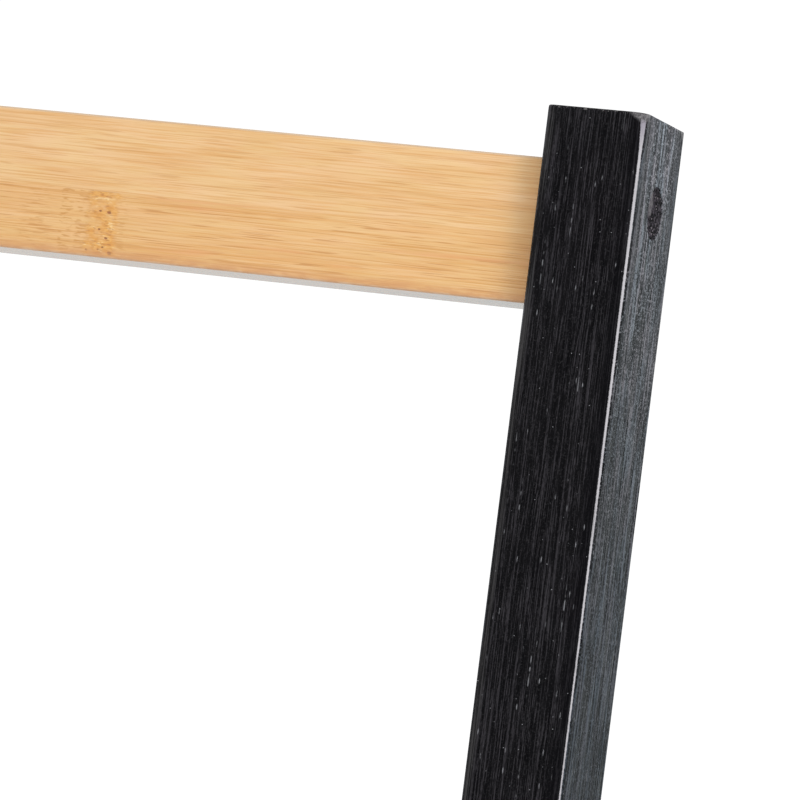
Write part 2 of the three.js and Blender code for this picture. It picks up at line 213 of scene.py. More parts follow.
def turned(name, profile, steps=ROUND_STEPS, wobble=None):
    """A solid of revolution about Z, from pairs of radius and height that start and end on the axis."""
    points = [Vector((0, 0, profile[0][1]))]
    for radius, height in profile[1:-1]:
        points += circle(radius, steps, height, wobble)
    points.append(Vector((0, 0, profile[-1][1])))
    top = len(points) - 1
    last = top - steps
    faces = [(0, 1 + (k + 1) % steps, 1 + k) for k in range(steps)]
    for start in range(1, last, steps):
        faces += band(start, steps)
    faces += [(last + k, last + (k + 1) % steps, top) for k in range(steps)]
    return new_mesh(name, points, faces)


def pointing(direction, start):
    """A matrix that takes +Z to the direction, and the origin to start."""
    turn = Vector((0, 0, 1)).rotation_difference(Vector(direction)).to_matrix().to_4x4()
    return Matrix.Translation(start) @ turn


def hole(stages, direction, start):
    """A cutter for a stepped hole: pairs of diameter and the depth that it reaches."""
    profile = [(0, -OVERRUN)]
    level = -OVERRUN
    for diameter, depth in stages:
        profile += [(diameter / 2, level), (diameter / 2, depth)]
        level = depth
    profile.append((0, level))
    cutter = turned("cutter", profile, HOLE_STEPS)
    cutter.data.transform(pointing(direction, start))
    return cutter


def cut(piece, cutters):
    """Takes the cutters away from the piece, and applies the result."""
    for cutter in cutters:
        modifier = piece.modifiers.new("hole", "BOOLEAN")
        modifier.operation, modifier.solver, modifier.object = "DIFFERENCE", "EXACT", cutter
        bpy.context.view_layer.update()
        evaluated = piece.evaluated_get(bpy.context.evaluated_depsgraph_get())
        mesh = bpy.data.meshes.new_from_object(evaluated)
        piece.modifiers.clear()
        old, piece.data = piece.data, mesh
        bpy.data.meshes.remove(old)
        mesh.name = piece.name
        bpy.data.objects.remove(cutter)


def smooth(piece):
    """Smooth rounded edges beside flat faces that stay flat."""
    for polygon in piece.data.polygons:
        polygon.use_smooth = True
    piece.data.set_sharp_from_angle(angle=SMOOTH_ANGLE)
    modifier = piece.modifiers.new("flat_faces", "WEIGHTED_NORMAL")
    modifier.keep_sharp = True
    modifier.weight = FLAT_FACE_WEIGHT


def seat(piece, node, material, matrix):
    """Puts a finished piece in place of its CAD node, on the same body. The place attribute keeps its own
    coordinates in millimetres for its material."""
    mesh = piece.data
    place = mesh.attributes.new("place", "FLOAT_VECTOR", "POINT")
    for vertex in mesh.vertices:
        place.data[vertex.index].vector = vertex.co / MM
    mesh.transform(matrix)
    smooth(piece)
    mesh.materials.clear()
    mesh.materials.append(material)
    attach(piece, frame["nodes"][node]["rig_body"])
    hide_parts(node)


def outer_face(name):
    """The distance from the rack's middle to an upright's outer face."""
    return UPRIGHT_X[name] + UPRIGHT_WIDTH / 2


def inner_face(name):
    return UPRIGHT_X[name] - UPRIGHT_WIDTH / 2


def foot_station(name):
    """Where a frame's uprights end at the floor, along them from the pivot."""
    return -(PIVOT.z - FOOT_HEIGHT) / math.cos(LEAN[name])


def rail_stations(name):
    """The places of a frame's rails along its uprights, from the pivot."""
    first = UPRIGHT_TOP[name] - TOP_RAIL_DROP - RAIL_HEIGHT / 2
    if name == "outer":
        return {"outer_top_rail": first, "outer_second_rail": first - SECOND_RAIL_SPACING}
    return {"inner_top_rail": first, "inner_foot_rail": foot_station(name) + FOOT_RAIL_RISE}


def stop_outline():
    """The stop rail's section in the outer frame's axes, anticlockwise from its front lower corner, and the
    height of its screws."""
    opened = LEAN["outer"] - LEAN["inner"]
    front = UPRIGHT_DEPTH / 2 + SEAT_GAP
    inner = front + STOP_BEVEL_DEPTH
    low, middle = ((front - y * math.cos(opened)) / math.sin(opened) for y in (front, inner))
    back, top = front + STOP_RAIL_THICKNESS, middle + STOP_RAIL_HEIGHT
    corners = ((front, low), (inner, middle), (back, middle), (back, top), (front, top))
    return [Vector(c) for c in corners], (low + top) / 2


def sanded_corner(distance):
    """The radius of an upright's outer front edge, rounder where its top corner is sanded."""
    slow = math.exp(-distance / SANDED_REACH[0])
    quick = max(0.0, 1 - distance / SANDED_REACH[1]) ** 2
    return UPRIGHT_EDGE + SANDED_EXTRA[0] * slow + SANDED_EXTRA[1] * quick


def upright(name, side, material):
    """One upright with rounded edges, cut level at its foot and drilled for rails and pivot."""
    sign, foot, top = SIDES[side], foot_station(name), UPRIGHT_TOP[name]
    x, y = UPRIGHT_WIDTH / 2, UPRIGHT_DEPTH / 2
    corners = box_corners(x, y)
    edges = [UPRIGHT_INNER_EDGE] * 2 + [UPRIGHT_BACK_EDGE] * 2
    outer_front = int(sign > 0)
    edges[outer_front] = UPRIGHT_EDGE
    slope = math.tan(LEAN[name])
    rings = []
    for distance, inset in end_rounding(FOOT_EDGE):
        ring = rounded_ring(inset_corners(corners, [inset] * 4), edges)
        rings.append([Vector((p.x, p.y, foot + distance + slope * p.y)) for p in ring])
    for distance, inset in [(d * MM, 0) for d in SANDED_RINGS] + end_rounding(TOP_EDGE)[::-1]:
        radii = list(edges)
        radii[outer_front] = sanded_corner(distance)
        crisp = drawn_in(distance, TOP_SIDE_EDGE)
        ring = rounded_ring(inset_corners(corners, [inset, crisp, crisp, crisp]), radii)
        rings.append([Vector((p.x, p.y, top - distance)) for p in ring])
    piece = loft(f"{name}_upright_{side}_wood", rings)
    cutters = []
    through = UPRIGHT_WIDTH + OVERRUN
    for station in rail_stations(name).values():
        start = (sign * x, 0, station + SCREW_RISE)
        cutters.append(hole([(PLUG_HOLE, PLUG_HOLE_DEPTH), (SCREW_HOLE, through)], (-sign, 0, 0), start))
        start = (-sign * x, 0, station - DOWEL_DROP)
        cutters.append(hole([(DOWEL_HOLE, DOWEL_HOLE_IN_UPRIGHT)], (sign, 0, 0), start))
    face = sign if name == "outer" else -sign
    stages = [(HEAD_HOLE, HEAD_HOLE_DEPTH), (PIVOT_HOLE, through)]
    cutters.append(hole(stages, (-face, 0, 0), (face * x, 0, 0)))
    if name == "outer":
        start = (0, y, stop_outline()[1])
        cutters.append(hole([(SCREW_HOLE, STOP_SCREW_HOLE)], (0, -1, 0), start))
    cut(piece, cutters)
    place = across(LEAN[name]) @ Matrix.Translation((sign * UPRIGHT_X[name], 0, 0))
    seat(piece, f"{name}_upright_{side}", material, place)


def rail(frame_name, node, station, material):
    """One rail between two uprights, with rounded edges and drilled ends."""
    half = inner_face(frame_name)
    corners = box_corners(RAIL_THICKNESS / 2, RAIL_HEIGHT / 2)
    distances = sorted({d for radius in (RAIL_EDGE, RAIL_CORNER) for d, _ in end_rounding(radius)})
    rings = []
    for place, distance in from_both_ends(-half, half, [(d, d) for d in distances]):
        flat, tall = drawn_in(distance, RAIL_EDGE), drawn_in(distance, RAIL_CORNER)
        ring = rounded_ring(inset_corners(corners, [tall, flat, tall, flat]), [RAIL_EDGE] * 4)
        rings.append([Vector((place, p.x, p.y)) for p in ring])
    piece = loft(f"{node}_bamboo", rings)
    cutters = []
    for sign in SIDES.values():
        ahead = (-sign, 0, 0)
        cutters.append(hole([(SCREW_HOLE, SCREW_HOLE_IN_RAIL)], ahead, (sign * half, 0, SCREW_RISE)))
        cutters.append(hole([(DOWEL_HOLE, DOWEL_HOLE_IN_RAIL)], ahead, (sign * half, 0, -DOWEL_DROP)))
    cut(piece, cutters)
    place = across(LEAN[frame_name]) @ Matrix.Translation((0, 0, station))
    seat(piece, node, material, place)


def stop_rail(material):
    """The bevelled rail behind the outer uprights, with plugged screw holes in its back face."""
    outline, screw_station = stop_outline()
    middle = Vector(((outline[0].x + outline[2].x) / 2, screw_station))
    corners = [c - middle for c in outline]
    half = outer_face("outer")
    rings = []
    for place, inset in from_both_ends(-half, half, end_rounding(STOP_EDGE)):
        ring = rounded_ring(inset_corners(corners, [inset] * 5), [STOP_CORNER] * 5)
        rings.append([Vector((place, p.x, p.y)) for p in ring])
    piece = loft("stop_rail_bamboo", rings)
    back = outline[2].x - middle.x
    stages = [(PLUG_HOLE, PLUG_HOLE_DEPTH), (SCREW_HOLE, STOP_RAIL_THICKNESS + OVERRUN)]
    cut(piece, [hole(stages, (0, -1, 0), (s * UPRIGHT_X["outer"], back, 0)) for s in SIDES.values()])
    place = across(LEAN["outer"]) @ Matrix.Translation((0, middle.x, middle.y))
    seat(piece, "stop_rail", material, place)


def disc_profile(radius, low, high, edge):
    """A flat disc with chamfered rims, for turned()."""
    return [(0, low), (radius - edge, low), (radius, low + edge),
            (radius, high - edge), (radius - edge, high), (0, high)]


def plug(node, material, matrix, seed):
    """A wooden plug, a little out of round, whose end grain shows in its hole."""
    def wobble(angle):
        return sum(size * math.sin(waves * angle + turn * seed) for waves, turn, size in PLUG_WOBBLE)

    corner = 0.3 * PLUG_EDGE
    profile = disc_profile(PLUG_RADIUS, PLUG_RECESS, PLUG_RECESS + PLUG_LENGTH, PLUG_EDGE)
    profile.insert(2, (PLUG_RADIUS - corner, PLUG_RECESS + corner))
    seat(turned(f"{node}_wood", profile, wobble=wobble), node, material, matrix)


def plugs(black, natural):
    """A plug over each screw: in the uprights' outer faces, and in the stop rail's back."""
    for name in FRAMES:
        for number, (node, station) in enumerate(rail_stations(name).items()):
            for side, sign in SIDES.items():
                start = (sign * outer_face(name), 0, station + SCREW_RISE)
                matrix = across(LEAN[name]) @ pointing((-sign, 0, 0), start)
                plug(f"{node}_plug_{side}", black, matrix, number + 2 * sign)
    outline, station = stop_outline()
    for side, sign in SIDES.items():
        start = (sign * UPRIGHT_X["outer"], outline[2].x, station)
        matrix = across(LEAN["outer"]) @ pointing((0, -1, 0), start)
        plug(f"stop_rail_plug_{side}", natural, matrix, sign)


def pivot_profile(shank, length):
    """A flat round head with a softened edge, and its shank."""
    head = HEAD_DIAMETER / 2
    rim = [(head - inset, HEAD_RECESS + distance) for distance, inset in end_rounding(HEAD_EDGE)]
    return [(0, HEAD_RECESS), *rim, (head, UNDER_HEAD), (shank, UNDER_HEAD),
            (shank, length - SHANK_TIP), (shank - SHANK_TIP, length), (0, length)]


def socket_cutter():
    """A cutter for the hexagon socket in a head."""
    radius, low, high = SOCKET_ACROSS_CORNERS / 2, HEAD_RECESS - OVERRUN, HEAD_RECESS + SOCKET_DEPTH
    return turned("cutter", [(0, low), (radius, low), (radius, high), (0, high)], SOCKET_SIDES)


def pivots(steel, nylon):
    """At each side: a bolt through both uprights in a sleeve nut, and a washer between the uprights."""
    def pivot_place(x, direction):
        return across(LEAN["outer"]) @ pointing((direction, 0, 0), (x, 0, 0))

    for side, sign in SIDES.items():
        bolt = turned(f"pivot_bolt_{side}_steel", pivot_profile(BOLT_DIAMETER / 2, UNDER_HEAD + BOLT_LENGTH))
        cut(bolt, [socket_cutter()])
        place = pivot_place(sign * outer_face("outer"), -sign)
        seat(bolt, f"pivot_bolt_{side}", steel, place)
        nut = turned(f"pivot_sleeve_nut_{side}_steel", pivot_profile(SLEEVE_DIAMETER / 2, SLEEVE_END))
        bore_stages = [(BOLT_DIAMETER + 2 * SEAT_GAP, SLEEVE_END - UNDER_HEAD)]
        bore = hole(bore_stages, (0, 0, -1), (0, 0, SLEEVE_END))
        cut(nut, [socket_cutter(), bore])
        place = pivot_place(sign * inner_face("inner"), sign)
        seat(nut, f"pivot_sleeve_nut_{side}", steel, place)
        profile = disc_profile(WASHER_DIAMETER / 2, 0, WASHER_THICKNESS, WASHER_EDGE)
        washer = turned(f"pivot_washer_{side}_nylon", profile)
        cut(washer, [hole([(PIVOT_HOLE, WASHER_THICKNESS + OVERRUN)], (0, 0, 1), (0, 0, 0))])
        place = pivot_place(sign * (inner_face("outer") - SEAT_GAP), -sign)
        seat(washer, f"pivot_washer_{side}", nylon, place)


def foot_pads(material):
    """A flat pad with softened edges under each foot."""
    for name, side in POSTS:
        x = UPRIGHT_WIDTH / 2 - PAD_INSET
        y = UPRIGHT_DEPTH / 2 / math.cos(LEAN[name]) - PAD_INSET
        rings = []
        for height, inset in from_both_ends(0, PAD_THICKNESS, end_rounding(PAD_EDGE)):
            ring = rounded_ring(inset_corners(box_corners(x, y), [inset] * 4), [PAD_CORNER] * 4)
            rings.append([Vector((p.x, p.y, height)) for p in ring])
        piece = loft(f"{name}_foot_pad_{side}_rubber", rings)
        foot_y = PIVOT.y + foot_station(name) * math.sin(LEAN[name])
        place = Matrix.Translation((SIDES[side] * UPRIGHT_X[name], foot_y, 0))
        seat(piece, f"{name}_foot_pad_{side}", material, place)


# Materials


def rgb(red, green, blue):
    """A colour given in sRGB, 0 to 255, as Blender's linear one."""
    def linear(v):
        v /= 255
        return v / 12.92 if v <= 0.04045 else ((v + 0.055) / 1.055) ** 2.4

    return (linear(red), linear(green), linear(blue), 1.0)


WHITE = (1.0, 1.0, 1.0, 1.0)


class Nodes:
    """A builder for the nodes of a tree."""

    def __init__(self, tree):
        self.tree = tree

    def node(self, kind, inputs, **settings):
        node = self.tree.nodes.new(kind)
        for key, value in settings.items():
            setattr(node, key, value)
        for key, value in inputs.items():
            self.feed(node.inputs[key], value)
        return node

    def feed(self, socket, value):
        """Links or sets an input. A colour of three numbers is in sRGB, and one of four is linear."""
        if isinstance(value, bpy.types.NodeSocket):
            self.tree.links.new(value, socket)
        else:
            in_srgb = socket.type == "RGBA" and len(value) == 3
            socket.default_value = rgb(*value) if in_srgb else value

    def light_path(self):
        return self.node("ShaderNodeLightPath", {}).outputs

    def math(self, operation, a, b=0.0):
        return self.node("ShaderNodeMath", {0: a, 1: b}, operation=operation).outputs[0]

    def chain(self, operation, value, *others):
        for other in others:
            value = self.math(operation, value, other)
        return value

    def add(self, *terms):
        return self.chain("ADD", *terms)

    def times(self, *factors):
        return self.chain("MULTIPLY", *factors)

    def most(self, *values):
        return self.chain("MAXIMUM", *values)

    def minus(self, a, b):
        return self.math("SUBTRACT", a, b)

    def absolute(self, a):
        return self.math("ABSOLUTE", a)

    def square_sum(self, a, b):
        return self.add(self.times(a, a), self.times(b, b))

    def jitter(self, noise, amount):
        """Noise about 0, from one about a half."""
        return self.times(self.add(noise, -0.5), amount)

    def scaled(self, vector, scale, offset=(0, 0, 0)):
        inputs = {"Vector": vector, "Scale": scale, "Location": offset}
        return self.node("ShaderNodeMapping", inputs).outputs[0]

    def moved(self, vector, shift):
        return self.node("ShaderNodeVectorMath", {0: vector, 1: shift}, operation="ADD").outputs[0]

    def split(self, vector):
        return self.node("ShaderNodeSeparateXYZ", {0: vector}).outputs

    def join(self, x, y, z):
        return self.node("ShaderNodeCombineXYZ", {0: x, 1: y, 2: z}).outputs[0]

    def noise(self, vector, detail=2.0, roughness=0.5, distortion=0.0, output="Fac"):
        inputs = {"Vector": vector, "Scale": 1.0, "Detail": detail, "Roughness": roughness,
                  "Distortion": distortion}
        return self.node("ShaderNodeTexNoise", inputs).outputs[output]

    def dots(self, vector, output="Distance", flat=False):
        inputs = {"Vector": vector, "Scale": 1.0, "Randomness": 1.0}
        dimensions = "2D" if flat else "3D"
        return self.node("ShaderNodeTexVoronoi", inputs, voronoi_dimensions=dimensions).outputs[output]

    def span(self, value, low, high, to_low=0.0, to_high=1.0, kind="SMOOTHSTEP"):
        """Takes value from the range low to high to another range, and holds it at the ends."""
        inputs = {"Value": value, "From Min": low, "From Max": high, "To Min": to_low, "To Max": to_high}
        return self.node("ShaderNodeMapRange", inputs, interpolation_type=kind).outputs[0]

    def ramp(self, value, low, high, to_low, to_high):
        return self.span(value, low, high, to_low, to_high, "LINEAR")

    def within(self, value, out_low, in_low, in_high, out_high):
        """1 between the inner two values, and 0 outside the outer two."""
        return self.times(self.span(value, out_low, in_low), self.span(value, out_high, in_high))

    def mix(self, factor, a, b, kind="MIX"):
        inputs = {0: factor, 6: a, 7: b}
        return self.node("ShaderNodeMix", inputs, data_type="RGBA", blend_type=kind).outputs[2]

    def tinted(self, colour, tint):
        return self.mix(1.0, colour, tint, "MULTIPLY")

    def paint(self, colour, shade, mask, low, high, most=1.0, where=None):
        """Lays shade over colour as the mask goes from low to high, up to a share of most."""
        factor = self.span(mask, low, high, 0.0, most)
        if where is not None:
            factor = self.times(factor, where)
        return self.mix(factor, colour, shade)

    def coats(self, colour, *coats):
        """Lays coats over colour one by one, each the rest of what paint is given."""
        for coat in coats:
            colour = self.paint(colour, *coat)
        return colour

    def bump(self, height, depth, normal=None):
        """Relief from a height of 0 to 1, as deep as depth in millimetres."""
        inputs = {"Height": height, "Distance": depth * MM, "Strength": 1.0}
        if normal is not None:
            inputs["Normal"] = normal
        return self.node("ShaderNodeBump", inputs).outputs[0]


class Graph(Nodes):
    """One material's nodes. place is the position in millimetres, in a worked piece's own axes, and on a solid
    or the floor in the rack's."""

    def __init__(self, name, worked=True):
        self.material = bpy.data.materials.new(name)
        self.material.use_nodes = True
        super().__init__(self.material.node_tree)
        self.shader = self.tree.nodes["Principled BSDF"]
        if worked:
            self.place = self.node("ShaderNodeAttribute", {}, attribute_name="place").outputs["Vector"]
        else:
            coordinates = self.node("ShaderNodeTexCoord", {}).outputs["Object"]
            self.place = self.scaled(coordinates, (1 / MM, 1 / MM, 1 / MM))

    def set(self, **inputs):
        """Feeds the shader's own inputs, named with underscores for spaces, and returns the material."""
        for key, value in inputs.items():
            self.feed(self.shader.inputs[key.replace("_", " ")], value)
        return self.material

    def local(self, scale, detail=2.0, roughness=0.5, offset=(0, 0, 0)):
        """Noise at the place, with this many waves to a millimetre along each axis."""
        return self.noise(self.scaled(self.place, scale, offset), detail, roughness)

    def waved(self, lengths, offset, reach):
        """The place, moved to and fro by about reach millimetres in waves of these lengths."""
        scale = tuple(1 / length for length in lengths)
        wave = self.noise(self.scaled(self.place, scale, offset), 1.0, output="Color")
        return self.moved(self.place, self.scaled(self.moved(wave, (-0.5, -0.5, -0.5)), reach))


# Bamboo rails, in millimetres: the distance between a strip's knots, a glued layer's thickness, where the
# rounds of the long edges start, and how far from the middle a rail meets its uprights (the stop rail doesn't)
KNOT_SPACING, LAYER = 230, 5.5
RIM_BAND, RIM_DEPTH = (13.8, 14.2), (0.75, 0.35)
RAIL_REACH = {name: inner_face(name) / MM for name in UPRIGHT_X}
NO_MEETING = 300
# A knot's half width, and the rows of marks beside it, by the distance from its middle: where a row begins, is
# whole, begins to end and ends
KNOT_HALF = (3.9, 2.5)
FAR_MARKS, MARKS_BEFORE = (-19, -17, -12, -10.5), (-9.6, -8.8, -7, -6.4)
MARKS_BESIDE, MARKS_AFTER = (-5.9, -5.2, -3.4, -2.6), (2.4, 3.2, 4.5, 6.5)
PIT_STRETCH = 0.7


class RailGraph(Graph):
    """A rail's material: two strips on each glued layer, which part at seam, and fibres along X."""

    def __init__(self, name, seed, seam):
        super().__init__(name)
        self.seed = seed
        self.bent = self.waved((160, 24, 24), (seed, seed, 0), (0, 0.45, 0.55))
        self.px, self.py, self.pz = self.split(self.place)
        self.x, self.y, self.z = self.split(self.bent)
        depth = self.add(self.times(self.py, 0.995), RAIL_THICKNESS / 2 / MM)
        layer = self.math("FLOOR", self.times(depth, 1 / LAYER))
        self.inner = self.math("GREATER_THAN", layer, 0.5)
        self.upper = self.math("GREATER_THAN", self.z, seam)
        self.lower = self.minus(1, self.upper)
        identity = self.add(self.times(layer, 2), self.upper, seed * 17)
        noise = self.node("ShaderNodeTexWhiteNoise", {"W": identity}, noise_dimensions="1D")
        self.chance = noise.outputs["Value"]

    def fibres(self, thick, long, offset, detail=1, roughness=0.5, distortion=0):
        """Noise of fibres this thick and long, in millimetres, that starts anew on each strip."""
        run = self.add(self.times(self.x, 1 / long), self.times(self.chance, 40))
        rise = self.add(self.times(self.z, 1 / thick), offset + self.seed * 3.7)
        return self.noise(self.join(run, self.times(self.y, 1 / thick), rise), detail, roughness, distortion)


def strips(g):
    """The colour of a rail's strips away from knots, with the grain and the dashes of its relief."""
    grain = g.fibres(0.17, 9, 0, 2, 0.6)
    lines = g.fibres(0.32, 32, 31)
    dashes = g.fibres(0.29, 12, 57)
    threads = g.fibres(0.23, 13, 141)
    bands = g.fibres(1.1, 50, 83, 2)
    clouds = g.fibres(5, 30, 97, 2)
    hue = g.fibres(3.5, 14, 113, 2)
    strength = g.add(g.times(g.lower, 0.4), 0.6)

    colour = g.paint((239, 197, 142), (231, 185, 123), clouds, 0.32, 0.68)
    tint = g.mix(g.chance, WHITE, (0.98, 0.96, 0.94, 1))
    tint = g.tinted(tint, g.paint((0.99, 1.01, 0.965, 1), (1, 0.992, 1.015, 1), hue, 0.38, 0.62))
    colour = g.tinted(colour, tint)
    colour = g.mix(g.times(g.lower, 0.6), colour, g.tinted(colour, (0.97, 0.90, 0.72, 1)))
    rusty = g.times(g.lower, g.span(bands, 0.45, 0.6))
    colour = g.coats(
        colour,
        ((229, 176, 108), bands, 0.42, 0.66, 0.36),
        ((220, 166, 100), grain, 0.45, 0.7, 0.45, strength),
        ((244, 205, 154), threads, 0.46, 0.34, 0.28),
        ((223, 162, 86), threads, 0.52, 0.64, 0.55),
        ((211, 150, 72), lines, 0.57, 0.67, 0.75, strength),
        ((200, 138, 66), dashes, 0.6, 0.7, 0.8, strength),
        ((228, 160, 104), clouds, 0.56, 0.7, 0.5, rusty),
    )
    return colour, grain, dashes


def from_knot(g, knots, ragged):
    """The distance along each strip from its nearest knot, in millimetres, with a ragged start."""
    inner_shift = g.times(g.inner, g.times(g.chance, KNOT_SPACING))
    first = g.add(g.times(g.upper, knots[1] - knots[0]), knots[0], inner_shift)
    along = g.add(g.minus(g.x, first), g.jitter(ragged, 4))
    along = g.math("FLOORED_MODULO", g.add(along, KNOT_SPACING / 2), KNOT_SPACING)
    return g.add(along, -KNOT_SPACING / 2)


def dark_pits(g, knot, strokes, pits):
    """Pores in the knots, or on the front layer the pits that are given by x, z and radius."""
    pores = g.dots(g.scaled(g.bent, (0.5, 0.6, 0.6), (g.seed * 5, 1, 2)))
    dark = g.times(g.span(pores, 0.16, 0.07), g.times(knot, g.times(g.inner, 0.7) if pits else 0.7))
    front = g.times(g.math("LESS_THAN", g.y, 0), 0.9)
    for pit_x, pit_z, radius in pits:
        off_x = g.times(g.add(g.px, -pit_x), PIT_STRETCH / radius)
        off_z = g.times(g.add(g.pz, -pit_z), 1 / radius)
        off = g.add(g.square_sum(off_x, off_z), g.jitter(strokes, 4))
        dark = g.most(dark, g.times(g.span(off, 1.8, 0), front))
    return dark


def with_knots(g, colour, along, pits):
    """The colour with its knots and the marks beside them, and the knots' relief."""
    choppy = g.fibres(0.3, 2.3, 11)
    longer = g.fibres(0.27, 3.2, 13)
    strokes = g.fibres(0.3, 1.4, 19, 1, 0.5, 0.5)
    swirl = g.noise(g.scaled(g.bent, (0.45, 1.7, 1.7)), 2, 0.6, 0.5)
    stain = g.noise(g.scaled(g.bent, (0.5, 0.5, 0.5)), 2, 0.6)
    knot = g.span(g.absolute(along), *KNOT_HALF)
    dark = dark_pits(g, knot, strokes, pits)

    near = g.add(g.within(along, *MARKS_BEFORE), g.within(along, *MARKS_BESIDE),
                 g.times(g.within(along, *MARKS_AFTER), 0.7))
    colour = g.coats(
        colour,
        ((205, 144, 68), longer, 0.55, 0.65, 0.6, g.within(along, *FAR_MARKS)),
        ((201, 139, 58), choppy, 0.52, 0.62, 0.7, near),
    )
    in_knot = g.coats(
        (218, 150, 58),
        ((230, 171, 83), swirl, 0.4, 0.56),
        ((247, 211, 148), swirl, 0.57, 0.68),
        ((184, 116, 44), strokes, 0.56, 0.68, 0.75),
    )
    colour = g.mix(g.times(knot, g.span(stain, 0.32, 0.6, 0.3, 0.95)), colour, in_knot)
    return g.mix(dark, colour, (148, 76, 4)), g.times(knot, g.minus(swirl, dark))


def with_rims(g, colour, reach, ragged):
    """The colour with its rounded long edges paler as a painted reflection, palest on the low one, its ends
    darker and warmer as painted shade where the rail meets its uprights, and a darker brown band low on its
    faces.
    """
    from_face = g.minus(RAIL_THICKNESS / 2 / MM, g.absolute(g.py))
    rim = g.times(g.span(g.absolute(g.pz), *RIM_BAND), g.span(from_face, *RIM_DEPTH))
    # painted reflection: paler rounded long edges, paler still on the low one
    rim_reflection = g.mix(g.math("LESS_THAN", g.pz, 0), (202, 177, 150), (227, 208, 184))
    colour = g.mix(g.times(rim, 0.7), colour, rim_reflection)
    # painted shade: darker and warmer towards the ends, where the rail meets its uprights
    end_shade = g.tinted(colour, (0.96, 0.87, 0.71, 1))
    colour = g.paint(colour, end_shade, g.absolute(g.px), reach - 5, reach - 1.5)
    return g.paint(colour, (206, 146, 90), g.pz, -12, -13.8, 0.8, g.span(ragged, 0.35, 0.6, 0.5, 1))


def bamboo(name, seed, knots, reach, seam=-1, pits=()):
    """Clear-finished bamboo. knots are the places of a knot on the front layer's lower and upper strips, reach
    is how far from the middle the rail meets an upright, and pits are the lower strip's."""
    g = RailGraph(name, seed, seam)
    ragged = g.local((0.25, 1.1, 1.1), 3, 0.65, (seed, 9, 4))
    colour, grain, dashes = strips(g)
    colour, knot_height = with_knots(g, colour, from_knot(g, knots, ragged), pits)
    colour = with_rims(g, colour, reach, ragged)
    relief = g.bump(g.add(grain, g.times(dashes, -0.6)), 0.03)
    relief = g.bump(knot_height, 0.1, relief)
    g.set(Base_Color=colour, Roughness=g.span(grain, 0.3, 0.7, 0.42, 0.56), Normal=relief)
    return g.set(Coat_Weight=1, Coat_Roughness=0.16, Specular_IOR_Level=0.5)


class UprightGraph(Graph):
    """An upright's material: distances from its faces and top in millimetres, masks for its sides, and fibres
    along Z. outer_sign is the side, -1 or 1, that its outer face is on, and top the height of its end."""

    def __init__(self, name, seed, outer_sign, top):
        super().__init__(name)
        self.seed = seed
        self.bent = self.waved((12, 12, 90), (seed, 0, seed), (0.9, 0.9, 0))
        self.px, self.py, pz = self.split(self.place)
        self.from_x = self.minus(UPRIGHT_WIDTH / 2 / MM, self.absolute(self.px))
        self.from_y = self.minus(UPRIGHT_DEPTH / 2 / MM, self.absolute(self.py))
        self.from_edge = self.add(self.from_x, self.from_y)
        self.from_top = self.minus(top, pz)
        front = self.math("LESS_THAN", self.py, 0)
        self.outer = self.math("GREATER_THAN", self.times(self.px, outer_sign), 0)
        self.front_outer = self.times(front, self.outer)
        self.front_inner = self.minus(front, self.front_outer)
        self.lines = self.fibres(0.28, 24, 0, 1.5)
        self.beads = self.fibres(0.24, 0.9, 20, 2, 0.6)
        self.hairs = self.fibres(0.18, 7, 30, 1)
        self.mottle = self.fibres(0.8, 0.42, 80, 2, 0.6)
        self.specks = self.fibres(0.3, 0.35, 90, 1)

    def fibres(self, thick, long, offset, detail=2, roughness=0.5):
        """Noise of fibres this thick and long, in millimetres."""
        scale = (1 / thick, 1 / thick, 1 / long)
        shift = (offset, self.seed * 7.3, offset + self.seed)
        return self.noise(self.scaled(self.bent, scale, shift), detail, roughness)


def pale_marks(g):
    """Pale dashes, some of them in chains, and dots, on all four long faces."""
    x, y, z = g.split(g.bent)
    outline = g.add(x, y)

    def scattered(width, length, turn, channel, size, share, mask):
        """Marks round scattered points, fading over these distances and chances, and masked."""
        cells = g.join(g.add(g.times(outline, 1 / width), g.seed * turn), g.times(z, 1 / length), 0)
        chance = g.split(g.dots(cells, "Color", flat=True))[channel]
        return g.times(g.span(g.dots(cells, flat=True), *size), g.span(chance, *share), mask)

    beaded = g.span(g.beads, 0.35, 0.6, 0.1, 1)
    dashes = scattered(1.2, 7, 3.1, 0, (0.11, 0.04), (0.78, 0.97), beaded)
    broken = g.span(g.fibres(1.5, 1.6, 110, 1), 0.47, 0.6)
    chains = scattered(1.7, 60, 2.3, 2, (0.1, 0.03), (0.55, 0.9), broken)
    dashes = g.times(g.most(dashes, g.times(chains, 0.8)), g.span(g.from_top, 6, 16, 0.15, 1))
    specked = g.span(g.specks, 0.36, 0.56, 0.3, 1)
    return dashes, scattered(2.4, 2.4, 5.7, 1, (0.055, 0.02), (0.76, 0.98), specked)


def front_colour(g):
    """Front and back faces: black with fine grey lines, with painted shade beside the outer front edge and a
    painted reflection along the inner front edge.
    """
    colour = g.coats(
        (12, 11, 13),
        ((3, 2, 4), g.lines, 0.5, 0.34),
        ((20, 19, 21), g.fibres(2.6, 80, 40), 0.42, 0.62, 0.3),
        ((54, 52, 56), g.lines, 0.57, 0.65, 0.85, g.span(g.beads, 0.32, 0.56, 0.3, 1)),
        ((57, 55, 59), g.hairs, 0.56, 0.65, 1, g.span(g.beads, 0.36, 0.58, 0.25, 0.9)),
        ((48, 47, 50), g.beads, 0.58, 0.72, 0.45),
        ((52, 51, 53), g.specks, 0.56, 0.72, 0.4),
        # painted shade: the front darker beside its outer edge
        ((4, 3, 6), g.from_x, 4, 1.4, 0.6, g.front_outer),
    )
    # painted reflection: a paler band along the inner front edge
    pale = g.coats((30, 29, 30), ((60, 59, 60), g.lines, 0.4, 0.6), ((80, 79, 80), g.beads, 0.55, 0.7, 0.4))
    lined = g.times(g.front_inner, g.span(g.lines, 0.36, 0.6, 0.5, 1))
    return g.paint(colour, pale, g.from_x, 2.2, 0.9, 1, lined)


